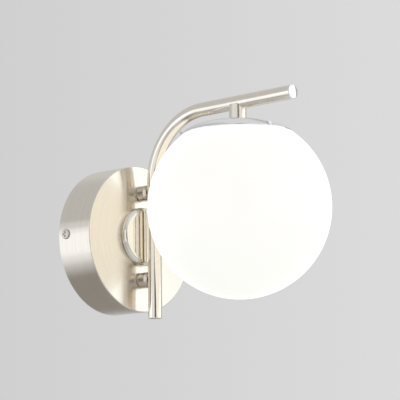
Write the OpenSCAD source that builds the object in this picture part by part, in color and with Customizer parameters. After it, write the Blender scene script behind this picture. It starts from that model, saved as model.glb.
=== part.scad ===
// Globe wall sconce: a round canopy, a bent tube arm on two stand-offs, and an opal glass globe hung
// from a shallow fitter cap, with its lampholder, bulb, wall bracket and wiring.
// Origin at the middle of the canopy on the wall plane. +Z is up and the lamp stands out along -Y.

/* [Canopy] */
// Outside diameter of the canopy
canopy_d = 125; // [118:1:145]
// Depth of the canopy from the wall to its face
canopy_depth = 36; // [33:1:44]
// Thickness of the canopy's sheet
canopy_wall = 1.2; // [0.8:0.1:1.8]
// Bevel round the edge of the canopy's face
canopy_bevel = 0.6; // [0.3:0.1:1]
// Distance of the side screws from the wall
side_screw_depth = 8.5; // [8:0.5:12]
// Rise of the side screws above the canopy's centre
side_screw_rise = 1; // [0:0.5:2]

/* [Centre disc] */
// Diameter of the polished disc on the canopy's face
disc_d = 50; // [40:1:54]
// Thickness of the disc
disc_t = 7; // [5:0.5:8]
// Rounding of the disc's front rim, as a share of its thickness
disc_front_ease_share = 0.57; // [0.3:0.01:0.58]
// Rounding of the disc's back rim, as a share of its thickness
disc_back_ease_share = 0.4; // [0.2:0.01:0.41]

/* [Arm] */
// Outside diameter of the arm's tube
tube_d = 12; // [11:0.5:14]
// Wall of the arm's tube
tube_wall = 1; // [0.8:0.1:1.2]
// Height of the horizontal bar's axis above the canopy's centre
bar_height = 102; // [98:1:112]
// Centreline radius of the arm's bend
bend_r = 56; // [44:1:58]
// Distance from the wall to the end of the bar
arm_reach = 204.5; // [190:0.5:220]
// Drop of the tube's foot below the canopy's centre
foot_drop = 69.7; // [60:0.1:80]
// Height of the dome on the plugs in the tube's two ends
plug_dome_h = 1.8; // [1:0.1:3]

/* [Stand-offs] */
// Diameter of the two stand-offs
standoff_d = 13.5; // [12:0.5:15]
// Length of a stand-off from the canopy's face to its end
standoff_length = 10; // [9:0.5:16]
// Width of the bevel at a stand-off's end
standoff_bevel_w = 2.4; // [0.4:0.1:2.6]
// Height of the bevel at a stand-off's end
standoff_bevel_h = 1.6; // [0.4:0.1:2.4]
// Distance between the two stand-offs' axes
standoff_spacing = 74.5; // [70:0.5:80]
// Rise of the stand-offs and the disc above the canopy's centre
face_rise = 1.5; // [0:0.5:3]
// Depth of the saddle that the tube lies in
saddle_depth = 0.5; // [0.3:0.1:1]

/* [Globe] */
// Outside diameter of the glass globe
globe_d = 150; // [144:1:156]
// Thickness of the glass
glass_t = 3; // [2.5:0.1:3.5]
// Distance from the wall to the globe's vertical axis
globe_reach = 146; // [142:1:156]
// Outside diameter of the glass neck
neck_d = 80; // [76:1:82]
// Outside diameter of the flat shoulder round the neck
shoulder_d = 92; // [90:0.5:95]
// Height of the neck above the shoulder
neck_h = 4.3; // [4:0.1:4.5]

/* [Fitter cap] */
// Overhang of the cap's rim beyond the glass shoulder
cap_overhang = 0.75; // [0.4:0.05:1.2]
// Height of the cap from its rim to its crown
cap_h = 11.4; // [11:0.1:14]
// Thickness of the cap's sheet
cap_wall = 1; // [0.8:0.1:1.2]

/* [Stem] */
// Diameter of the stem between the bar and the cap
stem_d = 14.5; // [12.5:0.5:15]
// Distance of the stem's top below the bar's axis
stem_top_drop = 2; // [1:0.5:3]
// Length of the stem from the cap's crown to its top
stem_l = 14; // [13:0.5:24]

/* [Lampholder and bulb] */
// Outside diameter of the lampholder
holder_d = 39; // [38:0.5:42]
// Length of the lampholder
holder_l = 48; // [46:1:52]
// Diameter of the bulb
bulb_d = 45; // [42:1:50]
// Length of the bulb from its tip contact to its crown
bulb_l = 75; // [72:1:80]
// Diameter of the bulb's screw cap
base_d = 26; // [25.8:0.1:26.2]

/* [Wall bracket] */
// Height of the bracket's plate
bracket_h = 24; // [20:1:28]
// Thickness of the bracket's sheet
bracket_t = 1.5; // [1.2:0.1:2]
// Distance between the centres of the two wall slots
slot_spacing = 76; // [70:1:80]
// Length of a wall slot
slot_length = 14; // [10:1:16]
// Width of a wall slot
slot_w = 4.6; // [4.2:0.1:5.2]

/* [Wiring] */
// Diameter of an insulated wire
wire_d = 1.8; // [1.6:0.1:2]
// Distance between the poles of the terminal block
pole_pitch = 8; // [7:0.5:9]

/* [Hidden] */

$fn = 96;
// How far a cut runs past the face that it opens
overrun = 1;
// Gap of a seat, of a brazed joint, of a thread, and round a screw in its hole
seat_gap = 0.1;
braze_gap = 0.05;
thread_gap = 0.05;
hole_gap = 0.25;

nickel = [0.80, 0.78, 0.73];
chrome = [0.86, 0.88, 0.91];
zinc = [0.72, 0.73, 0.75];
brass = [0.82, 0.68, 0.36];
opal = [0.98, 0.98, 0.96];
white_plastic = [0.93, 0.93, 0.91];
dark_plastic = [0.16, 0.16, 0.17];

// Canopy and its face
canopy_r = canopy_d / 2;
canopy_in_r = canopy_r - canopy_wall;
face_inside = canopy_depth - canopy_wall;

// Disc, its rim rounded from the back to the face
disc_front_ease = disc_t * disc_front_ease_share;
disc_back_ease = disc_t * disc_back_ease_share;
rim_steps = 5;
disc_profile = concat(
    [[0, 0]],
    [for (k = [0:rim_steps]) let (a = 90 * (k / rim_steps - 1))
        [disc_d / 2 - disc_back_ease * (1 - cos(a)), disc_back_ease * (1 + sin(a))]],
    [for (k = [0:rim_steps]) let (a = 90 * k / rim_steps)
        [disc_d / 2 - disc_front_ease * (1 - cos(a)), disc_t - disc_front_ease * (1 - sin(a))]],
    [[0, disc_t]]
);

// Arm tube
tube_r = tube_d / 2;
tube_in_r = tube_r - tube_wall;
tube_reach = canopy_depth + standoff_length + tube_r - saddle_depth;
bend_start = bar_height - bend_r;
plug_gap = 0.2;
plug_rim_h = 0.3;
plug_flange_t = plug_rim_h + plug_dome_h;
plug_dome_r = (pow(tube_r, 2) + pow(plug_dome_h, 2)) / (2 * plug_dome_h);
plug_spigot_l = 8;
bar_end = arm_reach - plug_flange_t - plug_gap;
tube_foot = plug_flange_t + plug_gap - foot_drop;

// Threaded spigots of the stand-offs, and the nipple in the stem, all one thread size
upper_z = face_rise + standoff_spacing / 2;
lower_z = face_rise - standoff_spacing / 2;
spigot_r = 5;
wire_way_r = 3.5;
nut_af = 14;
nut_h = 3;
washer_t = 1;
washer_d = 18;
spigot_tail = 1;
spigot_l = canopy_wall + washer_t + nut_h + spigot_tail;

// Screws
m4_r = 1.95;
m3_r = 1.45;
m5_r = 2.45;
tap_gap = 0.05;
head_crown_share = 0.45;
recess_w_share = 0.13;
recess_l_share = 0.6;
recess_depth_share = 0.5;
side_head_d = 8.4;
side_head_h = 1.2;
side_screw_l = 8;
earth_head_d = 8;
earth_head_h = 2.4;
disc_head_d = 9.5;
disc_head_h = 3;
disc_screw_reach = 3.5;

// Bracket
ear_w = 12;
ear_gap = 0.6;
ear_out = sqrt(pow(canopy_in_r - ear_gap, 2) - pow(ear_w / 2, 2));
ear_depth = 16;
wide_inset = 6;
earth_x = -20;
lug_t = 0.8;
lug_r = 4;
lug_barrel_r = 1.7;
lug_barrel_l = 6;
lug_barrel_depth = bracket_t + seat_gap + lug_barrel_r;

// Glass globe and its neck
globe_r = globe_d / 2;
glass_in_r = globe_r - glass_t;
neck_r = neck_d / 2;
neck_in_r = neck_r - glass_t;
shoulder_r = shoulder_d / 2;
shoulder_rise = sqrt(pow(globe_r, 2) - pow(shoulder_r, 2));
rim_gap = 0.3;

// Fitter cap: a saucer whose section follows (r / R)^crown_power + (z / H)^flank_power = 1
cap_r = shoulder_r + cap_overhang;
crown_power = 2.23;
flank_power = 1.68;
cap_steps = 22;
crown_bore_r = spigot_r + thread_gap;

// Heights, counted down from the bar: stem, cap, globe
stem_r = stem_d / 2;
stem_top = bar_height - stem_top_drop;
crown_z = stem_top - stem_l;
rim_z = crown_z - cap_h;
shoulder_z = rim_z - rim_gap;
globe_z = shoulder_z - shoulder_rise;
neck_top = shoulder_z + neck_h;

// The three fitter screws, the first of them turned from -Y towards -X, and their bosses in the cap
fitter_screw_z = (shoulder_z + neck_top) / 2;
screw_turn = 18;
screw_head_d = 3.6;
screw_head_h = 1;
screw_slot_w = 0.6;
screw_slot_depth = 0.5;
screw_tip_gap = 0.3;
boss_r = 2.3;
boss_out = 0.1;
boss_in = 2.6;
screw_seat_r = cap_r + boss_out + seat_gap;

// Stack under the cap's crown
washer_seat_z = cap_section_z(washer_d / 2, cap_r - cap_wall, cap_h - cap_wall) - braze_gap;
nipple_washer_z = rim_z + washer_seat_z - washer_t;
nipple_nut_z = nipple_washer_z - nut_h;
holder_top = nipple_nut_z - seat_gap;
nipple_engage = 7;
nipple_into_holder = 7;

// Lampholder, counted down from its top
holder_r = holder_d / 2;
holder_wall = 1.5;
holder_collar_r = 8;
holder_collar_h = 4;
holder_cone_h = 9;
holder_cap_h = 20;
holder_split = holder_top - holder_cap_h;
holder_bottom = holder_top - holder_l;
holder_thread_l = 9;
holder_roof = 2.5;
lap_h = 5;
lap_gap = 0.1;
insert_r = holder_r - 2 * holder_wall - lap_gap - seat_gap;
insert_h = 7;
insert_top = holder_split + lap_h - seat_gap;
insert_bottom = insert_top - insert_h;
ledge_h = 2;
ledge_w = 2.6;
shell_gap = 0.3;
shell_wall = 0.5;
shell_in_r = base_d / 2 + shell_gap;
shell_l = 23;
contact_l = 12;
contact_w = 4;
contact_t = 0.6;
contact_drop = 0.6;
terminal_x = 7;
terminal_w = 4;
terminal_l = 7;
terminal_h = 4;
wire_in_terminal = 2;

// Bulb, counted down from its tip
base_r = base_d / 2;
tip_z = insert_bottom - contact_t - contact_drop - seat_gap;
tip_r = 4.5;
tip_h = 1.4;
glass_cone_h = 4;
base_l = 26.5;
base_top = tip_z - tip_h - glass_cone_h;
base_bottom = tip_z - base_l;
thread_ridge = 0.35;
thread_pitch = 3.6;
ridge_count = 5;
bulb_bottom = tip_z - bulb_l;
bulb_r = bulb_d / 2;
bulb_wall = 1.2;
bulb_centre = bulb_bottom + bulb_r;
housing_rim_share = 0.377;
housing_rim_z = bulb_centre + (base_bottom - bulb_centre) * housing_rim_share;
housing_rim_r = sqrt(pow(bulb_r, 2) - pow(housing_rim_z - bulb_centre, 2));
housing_neck_h = 2;
housing_wall = 1.5;
board_t = 1.5;
board_gap = 0.1;
board_ledge = 0.5;
led_w = 3;
led_h = 0.8;
led_ring_r = 11;
led_count = 8;
driver_w = 14;
driver_t = 9;

// Terminal block
block_x = 13;
block_margin = 1;
block_w = 3 * pole_pitch + 2 * block_margin;
block_h = 16;
block_t = 13;
barrel_r = 2;
barrel_bore_r = 1.3;
barrel_l = 13;
pole_from_front = 6;
pole_depth = bracket_t + block_t - pole_from_front;
well_r = 1.9;
clamp_r = 1.5;
clamp_l = 3;
clamp_slot_w = 0.4;
clamp_z = 4;
wire_in_block = 3;
fixing_r = 1.2;
fixing_head_d = 3.4;
fixing_head_h = 1.6;

// Wires
wire_r = wire_d / 2;
wire_offset = 1.15;
wire_sides = 8;
drop_bend = 4;
canopy_bend = 12;
earth_loop = 20;

// Height of the cap's section above its rim at radius r, for a rim of radius top_r and a crown of height h
function cap_section_z(r, top_r, h) = h * pow(1 - pow(r / top_r, crown_power), 1 / flank_power);

// Points of that section from the crown to the rim, close together where it turns down
function cap_section(top_r, h) = [
    for (i = [0:cap_steps])
        let (r = top_r * sin(90 * i / cap_steps))
        [r, cap_section_z(r, top_r, h)]
];

// A cylinder along Y from one distance off the wall to another, its axis at x and z
module post(near, far, r, x = 0, z = 0) {
    translate([x, -near, z])
        rotate([90, 0, 0])
            cylinder(h = far - near, r = r);
}

module ring(h, r, bore) {
    difference() {
        cylinder(h = h, r = r);
        translate([0, 0, -overrun])
            cylinder(h = h + 2 * overrun, r = bore);
    }
}

// A centred box that stands on z = 0
module slab(w, d, h) {
    translate([-w / 2, -d / 2, 0])
        cube([w, d, h]);
}

// A cross-recessed pan head on z = 0 with its shank below
module pan_screw(head_d, head_h, shank_r, shank_l) {
    crown = head_h * head_crown_share;
    crown_r = (pow(head_d / 2, 2) + pow(crown, 2)) / (2 * crown);
    recess = head_h * recess_depth_share;
    difference() {
        union() {
            intersection() {
                cylinder(h = head_h, r = head_d / 2);
                translate([0, 0, head_h - crown_r])
                    sphere(r = crown_r);
            }
            translate([0, 0, -shank_l])
                cylinder(h = shank_l + head_h / 2, r = shank_r);
        }
        for (turn = [0, 90])
            rotate([0, 0, turn])
                translate([0, 0, head_h - recess])
                    slab(head_d * recess_l_share, head_d * recess_w_share, head_h);
    }
}

// A hexagon nut on z = 0
module hex_nut() {
    difference() {
        cylinder(h = nut_h, r = nut_af / 2 / cos(30), $fn = 6);
        translate([0, 0, -overrun])
            cylinder(h = nut_h + 2 * overrun, r = spigot_r + thread_gap);
    }
}

// The tube's path as a solid of radius r: foot, bend and bar
module arm_solid(r, foot, end) {
    translate([0, -tube_reach, foot])
        cylinder(h = bend_start - foot, r = r);
    translate([0, -tube_reach - bend_r, bend_start])
        rotate([90, 0, 90])
            rotate_extrude(angle = 90)
                translate([bend_r, 0])
                    circle(r = r);
    translate([0, 0, bar_height])
        post(tube_reach + bend_r, end, r);
}

module wall_bracket() {
    color(zinc)
    difference() {
        union() {
            translate([0, -bracket_t / 2, -bracket_h / 2])
                slab(2 * (ear_out - wide_inset), bracket_t, bracket_h);
            translate([0, -bracket_t / 2, -ear_w / 2])
                slab(2 * ear_out, bracket_t, ear_w);
            for (side = [-1, 1])
                translate([side * (ear_out - bracket_t / 2), -ear_depth / 2, -ear_w / 2])
                    slab(bracket_t, ear_depth, ear_w);
        }
        translate([-ear_out - overrun, -side_screw_depth, side_screw_rise])
            rotate([0, 90, 0])
                cylinder(h = 2 * (ear_out + overrun), r = m4_r + tap_gap);
        for (side = [-1, 1])
            translate([side * slot_spacing / 2, 0, 0]) {
                for (end = [-1, 1])
                    post(-overrun, bracket_t + overrun, slot_w / 2, x = end * (slot_length - slot_w) / 2);
                translate([0, -bracket_t / 2, -slot_w / 2])
                    slab(slot_length - slot_w, bracket_t + 2 * overrun, slot_w);
            }
        post(-overrun, bracket_t + overrun, m4_r + tap_gap, x = earth_x);
        for (side = [-1, 1])
            post(-overrun, bracket_t + overrun, fixing_r + tap_gap, x = block_x + side * pole_pitch / 2);
    }
}

module earth_screw() {
    color(zinc)
    translate([earth_x, -bracket_t - lug_t - seat_gap, 0])
        rotate([90, 0, 0])
            pan_screw(earth_head_d, earth_head_h, m4_r, bracket_t + lug_t);
}

module earth_lug() {
    color(brass)
    difference() {
        union() {
            post(bracket_t, bracket_t + lug_t, lug_r, x = earth_x);
            translate([earth_x, -lug_barrel_depth, -lug_r - lug_barrel_l])
                cylinder(h = lug_barrel_l, r = lug_barrel_r);
            translate([earth_x, -bracket_t - lug_t / 2, -lug_r - lug_t])
                slab(lug_barrel_r * 2, lug_t, lug_r);
        }
        post(0, bracket_t + lug_t + overrun, m4_r + hole_gap, x = earth_x);
        translate([earth_x, -lug_barrel_depth, -lug_r - lug_barrel_l - overrun])
            cylinder(h = wire_in_block + overrun, r = wire_r + thread_gap);
    }
}

// Place of each pole along X: earth, live and neutral
function pole_x(i) = block_x + (i - 1) * pole_pitch;

module terminal_block() {
    color(white_plastic)
    difference() {
        translate([block_x, -bracket_t - block_t / 2, -block_h / 2])
            slab(block_w, block_t, block_h);
        for (i = [0:2])
            translate([pole_x(i), -pole_depth, 0]) {
                translate([0, 0, -block_h / 2 - overrun])
                    cylinder(h = block_h + 2 * overrun, r = barrel_r + thread_gap);
                for (side = [-1, 1])
                    post(0, block_t + overrun, well_r, z = side * clamp_z);
            }
        for (side = [-1, 1])
            translate([block_x + side * pole_pitch / 2, 0, 0]) {
                post(0, bracket_t + block_t + overrun, fixing_r + thread_gap);
                post(bracket_t + block_t / 2, bracket_t + block_t + overrun, fixing_head_d / 2 + thread_gap);
            }
    }
}

module terminal_barrels() {
    color(brass)
    for (i = [0:2])
        translate([pole_x(i), -pole_depth, -barrel_l / 2])
            ring(barrel_l, barrel_r, barrel_bore_r);
}

module terminal_screws() {
    color(zinc)
    for (i = [0:2], side = [-1, 1])
        difference() {
            post(pole_depth + barrel_r + thread_gap, pole_depth + barrel_r + thread_gap + clamp_l, clamp_r,
                 x = pole_x(i), z = side * clamp_z);
            translate([pole_x(i), -pole_depth - barrel_r - clamp_l, side * clamp_z - clamp_slot_w / 2])
                slab(clamp_r * 3, clamp_r, clamp_slot_w);
        }
}

module block_fixing_screws() {
    color(zinc)
    for (side = [-1, 1])
        translate([block_x + side * pole_pitch / 2, -bracket_t - block_t / 2 - seat_gap, 0])
            rotate([90, 0, 0])
                pan_screw(fixing_head_d, fixing_head_h, fixing_r, block_t / 2 + bracket_t);
}

module canopy() {
    color(nickel)
    difference() {
        rotate([90, 0, 0])
            rotate_extrude()
                polygon([
                    [canopy_in_r, 0],
                    [canopy_r, 0],
                    [canopy_r, canopy_depth - canopy_bevel],
                    [canopy_r - canopy_bevel, canopy_depth],
                    [0, canopy_depth],
                    [0, face_inside],
                    [canopy_in_r, face_inside]
                ]);
        translate([-canopy_r - overrun, -side_screw_depth, side_screw_rise])
            rotate([0, 90, 0])
                cylinder(h = canopy_d + 2 * overrun, r = m4_r + hole_gap);
        for (z = [lower_z, upper_z])
            post(face_inside - overrun, canopy_depth + overrun, spigot_r + hole_gap, z = z);
        post(face_inside - overrun, canopy_depth + overrun, m5_r + hole_gap, z = face_rise);
    }
}

// A side screw at 9 or 3 o'clock, its head against the canopy's wall
module side_screw(side) {
    color(chrome)
    translate([side * (canopy_r + seat_gap), -side_screw_depth, side_screw_rise])
        rotate([0, side * 90, 0])
            pan_screw(side_head_d, side_head_h, m4_r, side_screw_l);
}

module canopy_screw_left() {
    side_screw(-1);
}

module canopy_screw_right() {
    side_screw(1);
}

module centre_disc() {
    color(chrome)
    difference() {
        translate([0, -canopy_depth, face_rise])
            rotate([90, 0, 0])
                rotate_extrude()
                    polygon(disc_profile);
        post(canopy_depth - overrun, canopy_depth + disc_screw_reach, m5_r + thread_gap, z = face_rise);
    }
}

module disc_screw() {
    color(zinc)
    translate([0, -face_inside + seat_gap, face_rise])
        rotate([-90, 0, 0])
            pan_screw(disc_head_d, disc_head_h, m5_r, canopy_wall + disc_screw_reach);
}

// A turned post with a hollow threaded spigot, its end cut to the tube
module standoff(z) {
    color(nickel)
    difference() {
        union() {
            translate([0, -canopy_depth, z])
                rotate([90, 0, 0])
                    rotate_extrude()
                        polygon([
                            [0, 0],
                            [standoff_d / 2, 0],
                            [standoff_d / 2, standoff_length - standoff_bevel_h],
                            [standoff_d / 2 - standoff_bevel_w, standoff_length],
                            [0, standoff_length]
                        ]);
            post(canopy_depth - spigot_l, canopy_depth + overrun, spigot_r, z = z);
        }
        post(canopy_depth - spigot_l - overrun, tube_reach, wire_way_r, z = z);
        translate([0, -tube_reach, z - standoff_d])
            cylinder(h = 2 * standoff_d, r = tube_r + braze_gap);
    }
}

module upper_standoff() {
    standoff(upper_z);
}

module lower_standoff() {
    standoff(lower_z);
}

module standoff_washers() {
    color(zinc)
    for (z = [lower_z, upper_z])
        translate([0, -face_inside + washer_t, z])
            rotate([90, 0, 0])
                ring(washer_t, washer_d / 2, spigot_r + hole_gap);
}

module standoff_nuts() {
    color(brass)
    for (z = [lower_z, upper_z])
        translate([0, -face_inside + washer_t + nut_h, z])
            rotate([90, 0, 0])
                hex_nut();
}

module arm_tube() {
    color(nickel)
    difference() {
        arm_solid(tube_r, tube_foot, bar_end);
        arm_solid(tube_in_r, tube_foot - overrun, bar_end + overrun);
        post(tube_reach - tube_r - overrun, tube_reach, wire_way_r, z = upper_z);
        translate([0, -globe_reach, bar_height - tube_r - overrun])
            cylinder(h = tube_r + overrun, r = wire_way_r);
    }
}

// A domed plug on z = 0 with its spigot below, for an end of the tube
module tube_plug() {
    intersection() {
        cylinder(h = plug_flange_t, r = tube_r);
        translate([0, 0, plug_flange_t - plug_dome_r])
            sphere(r = plug_dome_r);
    }
    translate([0, 0, -plug_spigot_l])
        cylinder(h = plug_spigot_l + plug_rim_h, r = tube_in_r - thread_gap);
}

module arm_end_cap() {
    color(chrome)
    translate([0, -arm_reach + plug_flange_t, bar_height])
        rotate([90, 0, 0])
            tube_plug();
}

module arm_foot_cap() {
    color(nickel)
    translate([0, -tube_reach, plug_flange_t - foot_drop])
        rotate([180, 0, 0])
            tube_plug();
}

module stem() {
    color(nickel)
    difference() {
        translate([0, -globe_reach, crown_z])
            cylinder(h = stem_l, r = stem_r);
        translate([0, -globe_reach, crown_z - overrun])
            cylinder(h = nipple_engage + overrun + seat_gap, r = spigot_r + thread_gap);
        translate([0, -globe_reach, crown_z])
            cylinder(h = stem_l + overrun, r = wire_way_r);
        translate([0, 0, bar_height])
            post(globe_reach - stem_d, globe_reach + stem_d, tube_r + braze_gap);
    }
}

module stem_nipple() {
    color(zinc)
    translate([0, -globe_reach, holder_top - nipple_into_holder])
        ring(crown_z + nipple_engage - holder_top + nipple_into_holder, spigot_r, wire_way_r);
}

module nipple_washer() {
    color(zinc)
    translate([0, -globe_reach, nipple_washer_z])
        ring(washer_t, washer_d / 2, spigot_r + hole_gap);
}

module nipple_nut() {
    color(brass)
    translate([0, -globe_reach, nipple_nut_z])
        hex_nut();
}

// Turns its children to the azimuth of one of the three fitter screws, their +Z pointing out
module at_fitter_screw(i) {
    translate([0, -globe_reach, fitter_screw_z])
        rotate([0, 0, -screw_turn - i * 120])
            rotate([90, 0, 0])
                children();
}

module fitter_cap() {
    outside = cap_section(cap_r, cap_h);
    inside = cap_section(cap_r - cap_wall, cap_h - cap_wall);
    color(chrome)
    difference() {
        union() {
            translate([0, -globe_reach, rim_z])
                rotate_extrude()
                    polygon(concat(outside, [for (i = [cap_steps:-1:0]) inside[i]]));
            for (i = [0:2])
                at_fitter_screw(i)
                    translate([0, 0, cap_r - cap_wall - boss_in])
                        cylinder(h = cap_wall + boss_in + boss_out, r = boss_r);
        }
        for (i = [0:2])
            at_fitter_screw(i)
                translate([0, 0, neck_r])
                    cylinder(h = cap_r - neck_r + overrun + boss_out, r = m3_r + tap_gap);
        translate([0, -globe_reach, rim_z - boss_r])
            cylinder(h = boss_r, r = cap_r + boss_out + overrun);
        translate([0, -globe_reach, crown_z - cap_h / 2])
            cylinder(h = cap_h, r = crown_bore_r);
    }
}

module fitter_screw(i) {
    color(zinc)
    at_fitter_screw(i)
        difference() {
            union() {
                translate([0, 0, neck_r + screw_tip_gap])
                    cylinder(h = screw_seat_r - neck_r - screw_tip_gap + screw_head_h / 2, r = m3_r);
                translate([0, 0, screw_seat_r])
                    cylinder(h = screw_head_h, r = screw_head_d / 2);
            }
            translate([0, 0, screw_seat_r + screw_head_h - screw_slot_depth])
                slab(screw_head_d + overrun, screw_slot_w, screw_head_h);
        }
}

module fitter_screw_front() {
    fitter_screw(0);
}

module fitter_screw_left() {
    fitter_screw(1);
}

module fitter_screw_right() {
    fitter_screw(2);
}

// A blown sphere, cut flat at the shoulder, with a short straight neck on it
module globe() {
    color(opal)
    translate([0, -globe_reach, globe_z])
        difference() {
            union() {
                intersection() {
                    sphere(r = globe_r);
                    translate([0, 0, -globe_r - overrun])
                        cylinder(h = globe_r + overrun + shoulder_rise, r = globe_r + overrun);
                }
                translate([0, 0, shoulder_rise - glass_t])
                    cylinder(h = glass_t + neck_h, r = neck_r);
            }
            intersection() {
                sphere(r = glass_in_r);
                translate([0, 0, -globe_r])
                    cylinder(h = globe_r + shoulder_rise - glass_t, r = globe_r);
            }
            translate([0, 0, shoulder_rise - 2 * glass_t])
                cylinder(h = 2 * glass_t + neck_h + overrun, r = neck_in_r);
        }
}

// The upper half of the lampholder: a threaded collar, a cone and a barrel
module lampholder_cap() {
    color(white_plastic)
    translate([0, -globe_reach, holder_split])
        difference() {
            rotate_extrude()
                polygon([
                    [0, 0],
                    [holder_r, 0],
                    [holder_r, holder_cap_h - holder_collar_h - holder_cone_h],
                    [holder_collar_r, holder_cap_h - holder_collar_h],
                    [holder_collar_r, holder_cap_h],
                    [0, holder_cap_h]
                ]);
            rotate_extrude()
                polygon([
                    [0, -overrun],
                    [holder_r - holder_wall, -overrun],
                    [holder_r - holder_wall, holder_cap_h - holder_collar_h - holder_cone_h - holder_wall],
                    [holder_collar_r - holder_wall, holder_cap_h - holder_collar_h - holder_roof],
                    [0, holder_cap_h - holder_collar_h - holder_roof]
                ]);
            translate([0, 0, holder_cap_h - holder_thread_l])
                cylinder(h = holder_thread_l + overrun, r = spigot_r + thread_gap);
        }
}

// The lower half, which laps into the upper one and carries the insert on a ledge
module lampholder_skirt() {
    lap_r = holder_r - holder_wall - lap_gap;
    mouth_h = insert_bottom - ledge_h - seat_gap - holder_bottom;
    color(white_plastic)
    translate([0, -globe_reach, 0])
        difference() {
            union() {
                translate([0, 0, holder_bottom])
                    cylinder(h = holder_split - holder_bottom - seat_gap, r = holder_r);
                translate([0, 0, holder_bottom])
                    cylinder(h = holder_split - holder_bottom + lap_h, r = lap_r);
            }
            translate([0, 0, holder_bottom - overrun])
                cylinder(h = mouth_h + overrun, r = holder_r - holder_wall);
            translate([0, 0, insert_bottom - seat_gap])
                cylinder(h = lap_h + insert_h, r = lap_r - holder_wall);
            translate([0, 0, insert_bottom - ledge_h - overrun])
                cylinder(h = ledge_h + 2 * overrun, r = lap_r - ledge_w);
        }
}

module lampholder_insert() {
    color(white_plastic)
    translate([0, -globe_reach, insert_bottom])
        cylinder(h = insert_h, r = insert_r);
}

module lampholder_screw_shell() {
    color(brass)
    translate([0, -globe_reach, insert_bottom - shell_l])
        ring(shell_l, shell_in_r + shell_wall, shell_in_r);
}

// The sprung tongue that meets the bulb's tip
module lampholder_contact() {
    color(brass)
    translate([0, -globe_reach, insert_bottom]) {
        translate([-contact_l / 2, 0, -contact_t])
            slab(contact_w, contact_w, contact_t);
        translate([0, 0, -contact_t - contact_drop])
            slab(contact_w, contact_w, contact_t);
        translate([-contact_l / 4, 0, -contact_t - contact_drop / 2])
            slab(contact_l / 2 + contact_w / 2, contact_w, contact_t);
    }
}

// Two brass terminals on top of the insert, with a screw in the side of each
module lampholder_terminals() {
    color(brass)
    for (side = [-1, 1])
        translate([side * terminal_x, -globe_reach, insert_top])
            difference() {
                slab(terminal_w, terminal_l, terminal_h);
                translate([0, 0, terminal_h - wire_in_terminal])
                    cylinder(h = terminal_h, r = wire_r + thread_gap);
            }
}

module bulb_tip_contact() {
    color(zinc)
    translate([0, -globe_reach, tip_z - tip_h])
        cylinder(h = tip_h, r = tip_r);
}

// The bulb's screw cap, with ring ridges for its thread and a dark glass cone at the top
module bulb_screw_cap() {
    color(nickel)
    translate([0, -globe_reach, 0]) {
        translate([0, 0, base_top])
            cylinder(h = glass_cone_h, r1 = base_r - thread_ridge * 2, r2 = tip_r);
        translate([0, 0, base_bottom])
            cylinder(h = base_top - base_bottom, r = base_r - thread_ridge);
        for (i = [0:ridge_count - 1])
            translate([0, 0, base_top - (i + 1) * thread_pitch])
                cylinder(h = thread_pitch / 2, r = base_r);
    }
}

// A hollow plastic cone from the screw cap to the rim of the diffuser
module bulb_housing() {
    neck_z = base_bottom - housing_neck_h;
    color(white_plastic)
    translate([0, -globe_reach, 0])
        rotate_extrude()
            polygon([
                [0, base_bottom],
                [base_r + thread_ridge, base_bottom],
                [base_r + thread_ridge, neck_z],
                [housing_rim_r, housing_rim_z],
                [housing_rim_r - housing_wall, housing_rim_z],
                [base_r - housing_wall, neck_z - housing_wall],
                [0, neck_z - housing_wall]
            ]);
}

module bulb_led_board() {
    cone_h = base_bottom - housing_neck_h - housing_wall - housing_rim_z;
    cone_in = housing_rim_r - base_r;
    board_r = housing_rim_r - housing_wall - board_t * cone_in / cone_h - board_ledge;
    color(white_plastic)
    translate([0, -globe_reach, housing_rim_z]) {
        cylinder(h = board_t, r = board_r);
        for (i = [0:led_count - 1])
            rotate([0, 0, i * 360 / led_count])
                translate([led_ring_r, 0, -led_h])
                    slab(led_w, led_w, led_h + board_t / 2);
    }
}

module bulb_driver() {
    driver_top = base_bottom - housing_neck_h - housing_wall - board_gap;
    color(dark_plastic)
    translate([0, -globe_reach, housing_rim_z + board_t])
        slab(driver_w, driver_t, driver_top - housing_rim_z - board_t);
}

module bulb_diffuser() {
    color(opal)
    translate([0, -globe_reach, bulb_centre])
        difference() {
            sphere(r = bulb_r);
            sphere(r = bulb_r - bulb_wall);
            translate([0, 0, housing_rim_z - bulb_centre])
                cylinder(h = bulb_r, r = bulb_r);
        }
}

// Points of a smooth sideways step from x0 to x1 while y and z run from a to b
function side_step(x0, x1, a, b, n) = [
    for (i = [0:n])
        let (t = i / n, s = t * t * (3 - 2 * t))
        [x0 + (x1 - x0) * s, a[0] + (b[0] - a[0]) * t, a[1] + (b[1] - a[1]) * t]
];

// Points of an arc in a plane of constant x, about the point at y and z
function arc_points(x, y, z, r, from, to, n) = [
    for (i = [0:n])
        let (a = from + (to - from) * i / n)
        [x, y + r * cos(a), z + r * sin(a)]
];

function unit(v) = v / norm(v);

function tangent(path, i) = unit(path[min(i + 1, len(path) - 1)] - path[max(i - 1, 0)]);

// A round wire swept along a path, its rings turned by a direction that it never runs along
module wire(path, side_way) {
    n = wire_sides;
    count = len(path);
    points = [
        for (i = [0:count - 1])
            let (
                t = tangent(path, i),
                u = unit(side_way - (side_way * t) * t),
                v = cross(t, u)
            )
            for (k = [0:n - 1])
                path[i] + wire_r * (cos(360 * k / n) * u + sin(360 * k / n) * v)
    ];
    walls = [
        for (i = [0:count - 2], k = [0:n - 1])
            let (a = i * n + k, b = i * n + (k + 1) % n)
            each [[a, a + n, b + n], [a, b + n, b]]
    ];
    near_end = [for (k = [1:n - 2]) [0, k, k + 1]];
    far_end = [for (k = [1:n - 2]) [(count - 1) * n, (count - 1) * n + k + 1, (count - 1) * n + k]];
    polyhedron(points = points, faces = concat(walls, near_end, far_end));
}

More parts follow.
